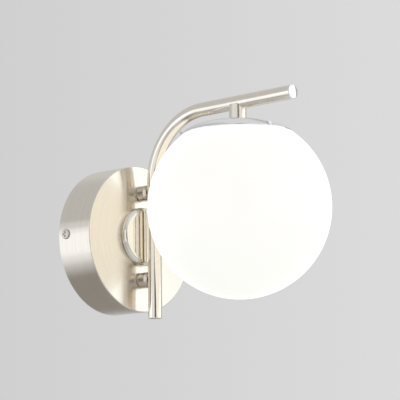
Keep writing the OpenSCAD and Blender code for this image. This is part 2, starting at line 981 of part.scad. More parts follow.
// The route of a supply wire: out of the block, through the upper stand-off, along the arm, down the stem
function supply_route(side, pole) =
    let (
        x = side * wire_offset,
        rise_end = upper_z - canopy_bend,
        nipple_foot = holder_top - nipple_into_holder,
        landing = insert_top + terminal_h - wire_in_terminal + seat_gap,
        drop_end = [-globe_reach, landing + wire_in_terminal]
    )
    concat(
        [[pole, -pole_depth, block_h / 2 - wire_in_block]],
        side_step(pole, x, [-pole_depth, block_h / 2], [-pole_depth, rise_end], 8),
        arc_points(x, -pole_depth - canopy_bend, rise_end, canopy_bend, 15, 90, 5),
        arc_points(x, -tube_reach + drop_bend, upper_z + drop_bend, drop_bend, 270, 180, 5),
        arc_points(x, -tube_reach - bend_r, bend_start, bend_r, 0, 90, 14),
        arc_points(x, -globe_reach + drop_bend, bar_height - drop_bend, drop_bend, 90, 180, 5),
        side_step(x, side * terminal_x, [-globe_reach, nipple_foot], drop_end, 6),
        [[side * terminal_x, -globe_reach, landing]]
    );

module live_wire() {
    color("saddlebrown")
    wire(supply_route(1, pole_x(2)), [1, 0, 0]);
}

module neutral_wire() {
    color("steelblue")
    wire(supply_route(-1, pole_x(1)), [1, 0, 0]);
}

// The earth wire loops down from its pole and up into the lug
module earth_wire() {
    from = [pole_x(0), -pole_depth, -block_h / 2];
    to = [earth_x, -lug_barrel_depth, -lug_r - lug_barrel_l];
    steps = 16;
    curve = [
        for (i = [0:steps])
            let (t = i / steps, s = 1 - t, dip = [0, 0, earth_loop])
            s * s * s * from + 3 * s * s * t * (from - dip) + 3 * s * t * t * (to - dip) + t * t * t * to
    ];
    up = [0, 0, wire_in_block - seat_gap];
    color("yellowgreen")
    wire(concat([from + up], curve, [to + up]), [0, 1, 0]);
}

wall_bracket();
earth_screw();
earth_lug();
terminal_block();
terminal_barrels();
terminal_screws();
block_fixing_screws();
canopy();
canopy_screw_left();
canopy_screw_right();
centre_disc();
disc_screw();
upper_standoff();
lower_standoff();
standoff_washers();
standoff_nuts();
arm_tube();
arm_end_cap();
arm_foot_cap();
stem();
stem_nipple();
nipple_washer();
nipple_nut();
fitter_cap();
fitter_screw_front();
fitter_screw_left();
fitter_screw_right();
globe();
lampholder_cap();
lampholder_skirt();
lampholder_insert();
lampholder_screw_shell();
lampholder_contact();
lampholder_terminals();
bulb_tip_contact();
bulb_screw_cap();
bulb_housing();
bulb_led_board();
bulb_driver();
bulb_diffuser();
live_wire();
neutral_wire();
earth_wire();
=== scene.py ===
# Looks of the globe wall sconce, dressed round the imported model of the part.
# Lengths are metres in the part's own frame: the wall plane is y = 0, and the lamp stands out
# along -Y.
import math

import bmesh
import bpy
from mathutils import Matrix, Vector


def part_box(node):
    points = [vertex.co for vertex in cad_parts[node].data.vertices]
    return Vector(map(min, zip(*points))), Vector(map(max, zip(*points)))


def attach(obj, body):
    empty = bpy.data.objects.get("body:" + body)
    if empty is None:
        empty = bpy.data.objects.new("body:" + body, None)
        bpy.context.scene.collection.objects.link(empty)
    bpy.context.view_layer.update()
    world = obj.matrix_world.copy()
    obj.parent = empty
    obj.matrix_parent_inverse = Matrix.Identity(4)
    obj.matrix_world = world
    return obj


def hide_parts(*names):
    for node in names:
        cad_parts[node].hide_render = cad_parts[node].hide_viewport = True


MM = 0.001
TINY = 0.001 * MM
X_AXIS = Vector((1, 0, 0))
Y_AXIS = Vector((0, 1, 0))
Z_AXIS = Vector((0, 0, 1))

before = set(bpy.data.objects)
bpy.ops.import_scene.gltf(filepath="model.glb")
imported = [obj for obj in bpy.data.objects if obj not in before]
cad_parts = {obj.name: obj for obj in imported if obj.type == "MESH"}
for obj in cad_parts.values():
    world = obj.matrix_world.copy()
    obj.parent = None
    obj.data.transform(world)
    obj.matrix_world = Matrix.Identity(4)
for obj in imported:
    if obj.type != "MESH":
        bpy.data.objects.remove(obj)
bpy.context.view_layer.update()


def box_size(node):
    low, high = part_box(node)
    return high - low


def box_centre(node):
    low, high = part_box(node)
    return (low + high) / 2


# Sizes read from the frame
canopy_r = box_size("canopy").x / 2
canopy_depth = box_size("canopy").y
tube_r = box_size("arm_end_cap").x / 2
tube_y = box_centre("arm_foot_cap").y
bar_z = box_centre("arm_end_cap").z
bar_end_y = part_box("arm_tube")[0].y
tube_foot_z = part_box("arm_tube")[0].z
globe_y = box_centre("stem").y
crown_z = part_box("fitter_cap")[1].z
rim_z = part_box("fitter_cap")[0].z

# Sizes which the frame's boxes don't tell: canopy, disc and stand-offs
CANOPY_WALL = 1.2 * MM
CANOPY_EDGE = 0.9 * MM
CANOPY_INNER_EDGE = 0.5 * MM
CANOPY_LIP = 0.3 * MM
SIDE_HOLE_R = 2.2 * MM
DISC_FRONT_EASE = 4 * MM
DISC_BACK_EASE = 2.8 * MM
DISC_BORE_R = 2.5 * MM
DISC_BORE_H = 3.5 * MM
STANDOFF_BEVEL_W = 2.4 * MM
STANDOFF_BEVEL_H = 1.6 * MM
SPIGOT_R = 5 * MM
WIRE_WAY_R = 3.5 * MM
BRAZE_GAP = 0.05 * MM

# Arm tube and plugs
TUBE_WALL = 1.0 * MM
TUBE_LIP = 0.25 * MM
BEND_R = 56 * MM
PLUG_SPIGOT_L = 8 * MM
PLUG_DOME_H = 0.55 * MM

# Fitter cap with its screw bosses; the two powers shape its section
CAP_R = 46.75 * MM
CAP_WALL = 1 * MM
CROWN_POWER = 2.23
FLANK_POWER = 1.68
BOSS_R = 2.3 * MM
BOSS_OUT = 0.1 * MM
BOSS_IN = 2.6 * MM
FITTER_HOLE_R = 1.55 * MM
FITTER_SCREWS = ("fitter_screw_front", "fitter_screw_left", "fitter_screw_right")
SCREW_TURN = 18

# Globe
GLOBE_R = 75 * MM
GLASS_WALL = 3 * MM
NECK_R = 40 * MM
NECK_H = 4.3 * MM
SHOULDER_R = 46 * MM

# Camera: place in metres, turns in radians, lens and sensor in millimetres
CAMERA_PLACE = Vector((-1.07688, -1.04904, -0.20601))
CAMERA_YAW = 0.8501
CAMERA_PITCH = 0.1604
CAMERA_ROLL = -0.0135
CAMERA_LENS = 157.5
SENSOR_WIDTH = 36
NEAR_CLIP = 0.02

# Studio: colours of the world, and the spans of the blends between them, each along a direction
WALL_LEFT = (0.598, 0.598, 0.598)
WALL_RIGHT = (0.742, 0.742, 0.742)
WALL_SPAN = (-0.2, 0.2)
ROOM = (0.50, 0.495, 0.49)
ROOM_SPAN = (-0.25, 0.1)
DARK_END = (0.06, 0.056, 0.052)
DARK_END_WAY = Vector((-0.675, -0.735, 0.05))
DARK_END_SPAN = (0.945, 0.99)
CEILING = (0.72, 0.73, 0.745)
CEILING_SPAN = (0.35, 0.8)
FAR_LEFT = (0.56, 0.565, 0.57)
FAR_LEFT_SPAN = (-0.45, -0.14)
FLOOR_R = 6
FLOOR_Z = -1.3
FLOOR_PAPER = (0.82, 0.81, 0.795)
CARD_PAPER = (0.37, 0.345, 0.325)
CARD_SIZE = (2.4, 0.82)
CARD_PLACE = (0, 0.625, -0.845)
CARD_WAY = (0, -0.74, 0.67)

# Lights: name, bearing in degrees, height, distance, width, tallness, radiance, colour
WATTS_PER_RADIANCE = math.pi
LIGHT_AIM = Vector((0, -0.1, 0.02))
FRONT_LIGHTS = (
    ("right_front", 29, 0.25, 1.6, 1.75, 1.5, 0.92, (0.915, 0.965, 1.0)),
    ("middle_front", -19, 0.25, 1.6, 1.15, 1.5, 0.42, (0.98, 0.99, 1.0)),
    ("left_front", -92, 0.05, 1.6, 2.1, 1.2, 0.3, (1.0, 1.0, 1.0)),
)
# Four lights at one bearing overlap in height, so that their band fades out at both ends
LEFT_BACK_BEARING = -134
LEFT_BACK_DISTANCE = 0.75
LEFT_BACK_WIDTH = 0.65
LEFT_BACK_RADIANCE = 0.16
LEFT_BACK_COLOUR = (0.84, 0.89, 1.0)
LEFT_BACK_SPANS = ((-0.49, 0.11), (-0.42, 0.18), (-0.33, 0.26), (-0.22, 0.14))


# Outlines and meshes

def rounded(points, radii, steps):
    """A closed outline whose corners are rounded, each by its own radius."""
    outline = []
    for i, point in enumerate(points):
        corner = Vector(point)
        if radii[i] == 0:
            outline.append(corner)
            continue
        to_last = (Vector(points[i - 1]) - corner).normalized()
        to_next = (Vector(points[(i + 1) % len(points)]) - corner).normalized()
        half = to_last.angle(to_next) / 2
        centre = corner + (to_last + to_next).normalized() * radii[i] / math.sin(half)
        reach = radii[i] / math.tan(half)
        first = corner + to_last * reach - centre
        last = corner + to_next * reach - centre
        sweep = math.pi - 2 * half
        for k in range(steps + 1):
            share = k / steps
            blend = first * math.sin((1 - share) * sweep) + last * math.sin(share * sweep)
            outline.append(centre + blend / math.sin(sweep))
    return outline


def arc(centre, radius, start, end, steps):
    """Points of an arc from one angle to another, in degrees."""
    centre = Vector(centre)
    angles = [math.radians(start + (end - start) * k / steps) for k in range(steps + 1)]
    return [centre + radius * Vector((math.cos(a), math.sin(a))) for a in angles]


def new_piece(name, mesh):
    """A piece from a bmesh, with its faces turned outwards."""
    bmesh.ops.recalc_face_normals(mesh, faces=mesh.faces)
    data = bpy.data.meshes.new(name)
    mesh.to_mesh(data)
    mesh.free()
    piece = bpy.data.objects.new(name, data)
    bpy.context.scene.collection.objects.link(piece)
    return piece


def join_rings(mesh, near, far):
    """Faces between two rings of vertices; a ring of one vertex is a pole."""
    count = max(len(near), len(far))
    if count == 1:
        return
    for k in range(count):
        corners = [
            near[k % len(near)], near[(k + 1) % len(near)],
            far[(k + 1) % len(far)], far[k % len(far)],
        ]
        mesh.faces.new(list(dict.fromkeys(corners)))


def lathe(name, outline, turns=192, wave=None):
    """Turns a closed outline of (radius, height) about local Z.

    wave(angle, height) adds to the radius.
    """
    mesh = bmesh.new()
    rings = []
    for radius, height in outline:
        if radius < TINY:
            rings.append([mesh.verts.new((0, 0, height))])
            continue
        ring = []
        for k in range(turns):
            angle = 2 * math.pi * k / turns
            r = radius + (wave(angle, height) if wave else 0)
            ring.append(mesh.verts.new((r * math.cos(angle), r * math.sin(angle), height)))
        rings.append(ring)
    for i, ring in enumerate(rings):
        join_rings(mesh, ring, rings[(i + 1) % len(rings)])
    return new_piece(name, mesh)


def block(name, width, depth, height):
    """A box that stands centred on local z = 0."""
    mesh = bmesh.new()
    bmesh.ops.create_cube(mesh, size=1)
    bmesh.ops.scale(mesh, vec=(width, depth, height), verts=mesh.verts)
    bmesh.ops.translate(mesh, vec=(0, 0, height / 2), verts=mesh.verts)
    return new_piece(name, mesh)


def rod(name, radius, length, turns=96):
    """A plain round tool for cuts, from local z = 0 up."""
    return lathe(name, [(0, 0), (radius, 0), (radius, length), (0, length)], turns)


def stand(piece, place, axis=Z_AXIS, spin=0):
    """Puts a piece's origin at a place, with its local Z along an axis."""
    turn = Z_AXIS.rotation_difference(Vector(axis)).to_matrix().to_4x4()
    piece.matrix_world = Matrix.Translation(Vector(place)) @ turn @ Matrix.Rotation(spin, 4, "Z")
    return piece


def bake(piece):
    """Makes a piece's modifiers part of its mesh."""
    bpy.context.view_layer.update()
    graph = bpy.context.evaluated_depsgraph_get()
    data = bpy.data.meshes.new_from_object(piece.evaluated_get(graph))
    piece.modifiers.clear()
    piece.data = data


def combine(piece, tools, operation="DIFFERENCE"):
    """Cuts tools out of a piece, or joins them to it; the tools are used up."""
    for tool in tools:
        step = piece.modifiers.new("combine", "BOOLEAN")
        step.operation = operation
        step.solver = "EXACT"
        step.object = tool
        bake(piece)
        bpy.data.objects.remove(tool)
    return piece


def ease(piece, width, segments=2, angle=40):
    """Rounds a piece's sharp edges."""
    step = piece.modifiers.new("ease", "BEVEL")
    step.width = width
    step.segments = segments
    step.limit_method = "ANGLE"
    step.angle_limit = math.radians(angle)
    bake(piece)
    return piece


def finish(piece, body, material, nodes, sharp=32):
    """Shades a piece, gives it its material and puts it on its body in place of the nodes."""
    for face in piece.data.polygons:
        face.use_smooth = True
    piece.data.set_sharp_from_angle(angle=math.radians(sharp))
    step = piece.modifiers.new("normals", "WEIGHTED_NORMAL")
    step.keep_sharp = True
    bake(piece)
    piece.data.materials.clear()
    piece.data.materials.append(material)
    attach(piece, body)
    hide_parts(*nodes)
    return piece


# Materials

class Finish:
    """A procedural material: a Principled shader and what feeds it."""

    def __init__(self, name, colour, roughness, **inputs):
        self.material = bpy.data.materials.new(name)
        self.material.use_nodes = True
        self.tree = self.material.node_tree
        self.shader = self.tree.nodes["Principled BSDF"]
        self.shader.inputs["Base Color"].default_value = (*colour, 1)
        self.shader.inputs["Roughness"].default_value = roughness
        for name_of_input, value in inputs.items():
            self.shader.inputs[name_of_input.replace("_", " ")].default_value = value

    def add(self, kind, **settings):
        made = self.tree.nodes.new(kind)
        for key, value in settings.items():
            setattr(made, key, value)
        return made

    def link(self, source, target):
        self.tree.links.new(source, target)

    def math(self, operation, first, second):
        made = self.add("ShaderNodeMath", operation=operation)
        for socket, value in zip(made.inputs, (first, second)):
            if isinstance(value, (int, float)):
                socket.default_value = value
            else:
                self.link(value, socket)
        return made.outputs[0]

    def place(self):
        return self.add("ShaderNodeTexCoord").outputs["Object"]

    def round_place(self, across, around):
        """Coordinates for grain that runs round local Z: fine across it, long along it."""
        split = self.add("ShaderNodeSeparateXYZ")
        self.link(self.place(), split.inputs[0])
        x, y, z = split.outputs
        square = self.math("ADD", self.math("MULTIPLY", x, x), self.math("MULTIPLY", y, y))
        radius = self.math("MAXIMUM", self.math("SQRT", square, 0), 0.5 * MM)
        made = self.add("ShaderNodeCombineXYZ")
        self.link(self.math("MULTIPLY", self.math("DIVIDE", x, radius), around), made.inputs[0])
        self.link(self.math("MULTIPLY", self.math("DIVIDE", y, radius), around), made.inputs[1])
        self.link(self.math("MULTIPLY", self.math("ADD", radius, z), across), made.inputs[2])
        return made.outputs[0]

    def stretched_place(self, scale):
        made = self.add("ShaderNodeMapping")
        made.inputs["Scale"].default_value = scale
        self.link(self.place(), made.inputs["Vector"])
        return made.outputs[0]

    def noise(self, place, scale=1.0, *, detail):
        made = self.add("ShaderNodeTexNoise")
        made.inputs["Scale"].default_value = scale
        made.inputs["Detail"].default_value = detail
        self.link(place, made.inputs["Vector"])
        return made.outputs["Fac"]

    def spread(self, value, low=0, high=1, source=(0.3, 0.7)):
        """The value stretched from its source span to the span low to high."""
        made = self.add("ShaderNodeMapRange")
        for key, number in zip(("From Min", "From Max", "To Min", "To Max"), (*source, low, high)):
            made.inputs[key].default_value = number
        self.link(value, made.inputs["Value"])
        return made.outputs["Result"]

    def blend(self, value, first, second):
        """A mix of two colours, each a tuple or a socket."""
        made = self.add("ShaderNodeMix", data_type="RGBA")
        for key, colour in zip("AB", (first, second)):
            if isinstance(colour, tuple):
                made.inputs[key].default_value = (*colour, 1)
            else:
                self.link(colour, made.inputs[key])
        self.link(value, made.inputs["Factor"])
        return made.outputs["Result"]

    def tint(self, value, dark, light):
        self.link(self.blend(value, dark, light), self.shader.inputs["Base Color"])

    def rough(self, value, low, high):
        self.link(self.spread(value, low, high), self.shader.inputs["Roughness"])

    def bump(self, value, depth, strength):
        made = self.add("ShaderNodeBump")
        made.inputs["Strength"].default_value = strength
        made.inputs["Distance"].default_value = depth
        self.link(value, made.inputs["Height"])
        self.link(made.outputs[0], self.shader.inputs["Normal"])


def shade(colour, factor):
    return tuple(c * factor for c in colour)


NICKEL = (0.86, 0.805, 0.715)
CHROME = (0.88, 0.885, 0.89)
GLOW = (1.005, 0.998, 0.97)
GLOW_LOW = (0.995, 0.995, 0.94)
GLOW_BACK = (1.08, 1.03, 0.905)
BULB_GLOW = (1.0, 0.96, 0.86)
SCRATCH_DEPTH = 0.001 * MM


def turned_nickel(name, roughness, anisotropy, colour=NICKEL):
    """Satin nickel, brushed round the piece's axis."""
    made = Finish(
        name, colour, roughness, Metallic=1.0, Anisotropic=anisotropy, Anisotropic_Rotation=0.25)
    tangent = made.add("ShaderNodeTangent", direction_type="RADIAL", axis="Z")
    made.link(tangent.outputs[0], made.shader.inputs["Tangent"])
    broad = made.noise(made.round_place(1300, 1.6), detail=4)
    fine = made.noise(made.round_place(7000, 6), detail=2)
    made.tint(made.spread(broad), shade(colour, 0.955), shade(colour, 1.03))
    made.rough(broad, roughness * 0.88, roughness * 1.12)
    made.bump(fine, depth=SCRATCH_DEPTH, strength=0.35)
    return made.material


def drawn_nickel():
    """Satin nickel of the bent tube, polished, with faint scratches."""
    # The colour is lifted above the nickel's (1.06, and 1.03 to 1.08 in the tint): painted light
    # that brightens the reflections along the bar
    made = Finish("tube_nickel_painted_light", shade(NICKEL, 1.06), 0.1, Metallic=1.0)
    cloud = made.noise(made.place(), scale=240, detail=3)
    fine = made.noise(made.stretched_place((4200, 420, 420)), detail=2)
    made.tint(made.spread(cloud), shade(NICKEL, 1.03), shade(NICKEL, 1.08))
    made.rough(cloud, 0.09, 0.13)
    made.bump(fine, depth=SCRATCH_DEPTH, strength=0.2)
    return made.material


def chrome(name="polished_chrome", roughness=0.045, colour=CHROME):
    """Bright plate with the slight waviness of polished metal."""
    made = Finish(name, colour, roughness, Metallic=1.0)
    cloud = made.noise(made.place(), scale=130, detail=3)
    made.tint(made.spread(cloud), shade(colour, 0.98), shade(colour, 1.01))
    made.rough(cloud, roughness * 0.7, roughness * 1.5)
    made.bump(made.noise(made.place(), scale=60, detail=1), depth=0.01 * MM, strength=0.12)
    return made.material


def zinc():
    """Bright zinc plate on stamped steel, with its faint crystals."""
    made = Finish("zinc_plate", (0.62, 0.64, 0.66), 0.3, Metallic=1.0)
    cells = made.add("ShaderNodeTexVoronoi")
    cells.inputs["Scale"].default_value = 420
    made.link(made.place(), cells.inputs["Vector"])
    crystals = made.spread(cells.outputs["Distance"], source=(0.0, 0.8))
    made.tint(crystals, (0.60, 0.62, 0.635), (0.68, 0.69, 0.69))
    made.rough(made.noise(made.place(), scale=300, detail=3), 0.24, 0.42)
    made.bump(made.noise(made.place(), scale=900, detail=2), depth=0.01 * MM, strength=0.3)
    return made.material


def brass():
    made = Finish("brass", (0.72, 0.53, 0.24), 0.24, Metallic=1.0)
    cloud = made.noise(made.place(), scale=260, detail=4)
    made.tint(made.spread(cloud), (0.60, 0.42, 0.18), (0.80, 0.61, 0.30))
    made.rough(cloud, 0.18, 0.34)
    made.bump(made.noise(made.place(), scale=1500, detail=2), depth=0.006 * MM, strength=0.4)
    return made.material


def opal_glass():
    """Lit opal glass: white under a glossy skin, creamier towards the bottom and the wall."""
    made = Finish(
        "opal_glass", (0.15, 0.15, 0.147), 0.3, Emission_Strength=0.87, Specular_IOR_Level=0.35)
    split = made.add("ShaderNodeSeparateXYZ")
    made.link(made.place(), split.inputs[0])
    height = made.spread(split.outputs["Z"], source=(-GLOBE_R, -0.3 * GLOBE_R))
    cloud = made.noise(made.place(), scale=18, detail=2)
    front = made.blend(height, GLOW_LOW, GLOW)
    depth = made.spread(split.outputs["Y"], source=(0.3 * GLOBE_R, GLOBE_R))
    made.link(made.blend(depth, front, GLOW_BACK), made.shader.inputs["Emission Color"])
    made.tint(made.spread(cloud), (0.145, 0.145, 0.142), (0.155, 0.155, 0.152))
    made.rough(cloud, 0.26, 0.32)
    made.bump(made.noise(made.place(), scale=40, detail=1), depth=0.02 * MM, strength=0.1)
    return made.material


def opal_plastic():
    """The bulb's frosted diffuser."""
    made = Finish("opal_plastic", (0.62, 0.62, 0.60), 0.4, Emission_Strength=0.35)
    cloud = made.noise(made.place(), scale=60, detail=2)
    made.tint(made.spread(cloud), (0.60, 0.60, 0.575), (0.64, 0.64, 0.62))
    made.shader.inputs["Emission Color"].default_value = (*BULB_GLOW, 1)
    made.rough(cloud, 0.36, 0.46)
    made.bump(made.noise(made.place(), scale=2400, detail=2), depth=0.004 * MM, strength=0.5)
    return made.material


def plastic(name, colour, roughness):
    """Moulded plastic with a fine grained skin."""
    made = Finish(name, colour, roughness, IOR=1.49)
    cloud = made.noise(made.place(), scale=90, detail=3)
    made.tint(made.spread(cloud), shade(colour, 0.95), shade(colour, 1.04))
    made.rough(cloud, roughness * 0.85, roughness * 1.15)
    made.bump(made.noise(made.place(), scale=1400, detail=3), depth=0.01 * MM, strength=0.35)
    return made.material


def studio_paper(name, colour):
    made = Finish(name, colour, 0.9)
    cloud = made.noise(made.place(), scale=30, detail=3)
    made.tint(made.spread(cloud), shade(colour, 0.985), shade(colour, 1.01))
    return made.material


canopy_nickel = turned_nickel("canopy_nickel", roughness=0.20, anisotropy=0.95)
post_nickel = turned_nickel("post_nickel", roughness=0.18, anisotropy=0.5)
tube_nickel_painted_light = drawn_nickel()
bright_chrome = chrome()
# Screw heads in nickel darkened to 0.7 of the nickel colour: painted shade for the dark ring and
# contact shadow round the heads
screw_nickel_painted_shade = chrome("screw_nickel_painted_shade", 0.1, shade(NICKEL, 0.7))
disc_plate = chrome("disc_plate", 0.035, (0.93, 0.905, 0.845))
# Stand-off nickel at 0.8 of the nickel colour: the turned satin finish is real, and the darker
# colour is a painted dark reflection on the posts
standoff_nickel_painted_dark = turned_nickel(
    "standoff_nickel_painted_dark", roughness=0.24, anisotropy=0.3, colour=shade(NICKEL, 0.8))
zinc_plate = zinc()
brass_metal = brass()
opal = opal_glass()
bulb_opal = opal_plastic()
white_shell = plastic("white_plastic", (0.80, 0.79, 0.76), 0.35)
dark_shell = plastic("dark_plastic", (0.035, 0.035, 0.038), 0.4)
shell_nickel = chrome("shell_nickel", 0.16, (0.78, 0.77, 0.74))
brown_skin = plastic("brown_insulation", (0.20, 0.075, 0.03), 0.38)
blue_skin = plastic("blue_insulation", (0.04, 0.16, 0.42), 0.38)
green_skin = plastic("green_insulation", (0.30, 0.45, 0.05), 0.38)

# The material of a CAD node that isn't replaced goes by its slot
FINISH_OF_SLOT = {
    "satin_nickel": post_nickel,
    "chrome": bright_chrome,
    "zinc": zinc_plate,
    "brass": brass_metal,
    "opal_glass": opal,
    "opal_plastic": bulb_opal,
    "white_plastic": white_shell,
    "dark_plastic": dark_shell,
    "brown_insulation": brown_skin,
    "blue_insulation": blue_skin,
    "green_insulation": green_skin,
}

for cad_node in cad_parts.values():
    for holder in cad_node.material_slots:
        holder.material = FINISH_OF_SLOT[holder.material.name]


# Canopy, disc and stand-offs

def make_canopy():
    """A pressed drum, its face towards -Y; its origin is on the wall plane."""
    r = canopy_r
    inner = r - CANOPY_WALL
    depth = canopy_depth
    ring_count = 18
    floor_h = depth - CANOPY_WALL
    corners = [(inner, 0), (r, 0), (r, depth), (0, depth), (0, floor_h), (inner, floor_h)]
    outline = rounded(corners, [CANOPY_LIP, CANOPY_LIP, CANOPY_EDGE, 0, 0, CANOPY_INNER_EDGE], 8)
    dense = []
    for i, point in enumerate(outline):
        following = outline[(i + 1) % len(outline)]
        dense.append(point)
        if abs(point.x - following.x) < TINY and point.x > inner - TINY:
            dense += [point.lerp(following, k / ring_count) for k in range(1, ring_count)]
    canopy = stand(lathe("canopy_drum", dense, 360), (0, 0, 0), -Y_AXIS)
    screw = box_centre("canopy_screw_left")
    hole = rod("screw_hole", SIDE_HOLE_R, 2.2 * r)
    combine(canopy, [stand(hole, (-1.1 * r, screw.y, screw.z), X_AXIS)])
    finish(canopy, "fixture", canopy_nickel, ["canopy"])


def make_disc():
    """The polished disc: a flat face with a broad rounded rim."""
    size = box_size("centre_disc")
    centre = box_centre("centre_disc")
    r = size.x / 2
    total = size.y
    corners = [
        (DISC_BORE_R, 0), (r, 0), (r, total),
        (0, total), (0, DISC_BORE_H), (DISC_BORE_R, DISC_BORE_H),
    ]
    outline = rounded(corners, [0, DISC_BACK_EASE, DISC_FRONT_EASE, 0, 0, 0], 24)
    disc = stand(lathe("polished_disc", outline, 256), (0, -canopy_depth, centre.z), -Y_AXIS)
    finish(disc, "fixture", disc_plate, ["centre_disc"])


def make_standoff(node):
    """A turned post with a hollow spigot, its end cut to the tube."""
    low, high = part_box(node)
    r = (high.x - low.x) / 2
    top = -low.y - canopy_depth
    tail = high.y + canopy_depth
    z = (low.z + high.z) / 2
    corners = [
        (WIRE_WAY_R, -tail), (SPIGOT_R, -tail), (SPIGOT_R, 0), (r, 0),
        (r, top - STANDOFF_BEVEL_H), (r - STANDOFF_BEVEL_W, top), (WIRE_WAY_R, top),
    ]
    outline = rounded(corners, [0, 0.4 * MM, 0, 2.0 * MM, 0.3 * MM, 0.2 * MM, 0], 8)
    post = stand(lathe(node + "_post", outline, 128), (0, -canopy_depth, z), -Y_AXIS)
    saddle = stand(rod("saddle", tube_r + BRAZE_GAP, 4 * r), (0, tube_y, z - 2 * r))
    combine(post, [saddle])
    finish(post, "fixture", standoff_nickel_painted_dark, [node])


# Arm

def arm_stations(foot, end):
    """Points and directions along the tube's axis, from its foot to the end of the bar."""
    bend_steps = 72
    straight_steps = 8
    bend_start = bar_z - BEND_R
    stations = [(Vector((0, tube_y, foot + (bend_start - foot) * k / straight_steps)), Z_AXIS)
                for k in range(straight_steps)]
    for k in range(bend_steps + 1):
        angle = math.pi / 2 * k / bend_steps
        back, up = math.cos(angle), math.sin(angle)
        point = Vector((0, tube_y - BEND_R + BEND_R * back, bend_start + BEND_R * up))
        stations.append((point, Vector((0, -up, back))))
    bar_start = tube_y - BEND_R
    stations += [(Vector((0, bar_start + (end - bar_start) * k / straight_steps, bar_z)), -Y_AXIS)
                 for k in range(1, straight_steps + 1)]
    return stations


def make_arm():
    """The bent tube, open at both ends, with eased lips."""
    turns = 112
    mesh = bmesh.new()
    skins = []
    for radius, ease_lip in ((tube_r, TUBE_LIP), (tube_r - TUBE_WALL, 0)):
        stations = arm_stations(tube_foot_z + ease_lip, bar_end_y + ease_lip)
        if ease_lip:
            stations.insert(0, (Vector((0, tube_y, tube_foot_z)), Z_AXIS))
            stations.append((Vector((0, bar_end_y, bar_z)), -Y_AXIS))
        rings = []
        for i, (point, along) in enumerate(stations):
            at_lip = ease_lip and i in (0, len(stations) - 1)
            r = radius - ease_lip if at_lip else radius
            side = along.cross(X_AXIS)
            rings.append([
                mesh.verts.new(point + r * (math.cos(a) * X_AXIS + math.sin(a) * side))
                for a in (2 * math.pi * k / turns for k in range(turns))
            ])
        for near, far in zip(rings, rings[1:]):
            join_rings(mesh, near, far)
        skins.append(rings)
    for end in (0, -1):
        join_rings(mesh, skins[0][end], skins[1][end])
    arm = new_piece("bent_tube", mesh)
    upper_z = box_centre("upper_standoff").z
    combine(arm, [
        stand(rod("wire_hole", WIRE_WAY_R, 2 * tube_r), (0, tube_y, upper_z), Y_AXIS),
        stand(rod("drop_hole", WIRE_WAY_R, 2 * tube_r), (0, globe_y, bar_z - 2 * tube_r)),
    ])
    finish(arm, "fixture", tube_nickel_painted_light, ["arm_tube"])


def make_plug(node, name, axis, material):
    """A turned plug with a domed end, in the open end of the tube."""
    low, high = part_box(node)
    spigot_r = tube_r - TUBE_WALL - BRAZE_GAP
    total = max(high - low)
    top = total - PLUG_SPIGOT_L
    dome_r = (tube_r ** 2 + PLUG_DOME_H ** 2) / (2 * PLUG_DOME_H)
    half_angle = math.degrees(math.asin(tube_r / dome_r))
    # The rounded corner takes the place of the dome's first steps
    dome = arc((0, top - dome_r), dome_r, 90 - half_angle, 90, 16)[3:]
    corners = [
        (0, -PLUG_SPIGOT_L), (spigot_r, -PLUG_SPIGOT_L), (spigot_r, 0),
        (tube_r, 0), (tube_r, top - PLUG_DOME_H),
    ]
    eases = [0, 0.4 * MM, 0, 0.1 * MM, 0.8 * MM] + [0] * len(dome)
    plug = lathe(name, rounded(corners + dome, eases, 8), 128)
    if axis == -Y_AXIS:
        seat = (0, low.y + top, bar_z)
    else:
        seat = (0, tube_y, low.z + top)
    stand(plug, seat, axis)
    finish(plug, "fixture", material, [node])


def make_stem():
    """The short post between bar and cap, coped to the bar."""
    low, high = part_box("stem")
    r = (high.x - low.x) / 2
    height = high.z - low.z
    corners = [
        (SPIGOT_R, 0), (r, 0), (r, height),
        (WIRE_WAY_R, height), (WIRE_WAY_R, height / 2), (SPIGOT_R, height / 2),
    ]
    outline = rounded(corners, [0, 0.35 * MM, 0, 0, 0, 0], 5)
    stem = stand(lathe("coped_stem", outline, 160), (0, globe_y, low.z))
    saddle = rod("saddle", tube_r + BRAZE_GAP, 4 * r, 160)
    combine(stem, [stand(saddle, (0, globe_y - 2 * r, bar_z), Y_AXIS)])
    finish(stem, "fixture", post_nickel, ["stem"])


# Fitter cap and globe

def cap_section(radius, height, steps):
    """Points of the cap's section from its rim to its crown."""
    points = []
    for k in range(steps + 1):
        r = radius * math.cos(math.pi / 2 * k / steps)
        points.append(Vector((r, height * (1 - (r / radius) ** CROWN_POWER) ** (1 / FLANK_POWER))))
    return points


def fitter_way(index):
    """Outward direction of a fitter screw."""
    angle = math.radians(-90 - SCREW_TURN - 120 * index)
    return Vector((math.cos(angle), math.sin(angle), 0))


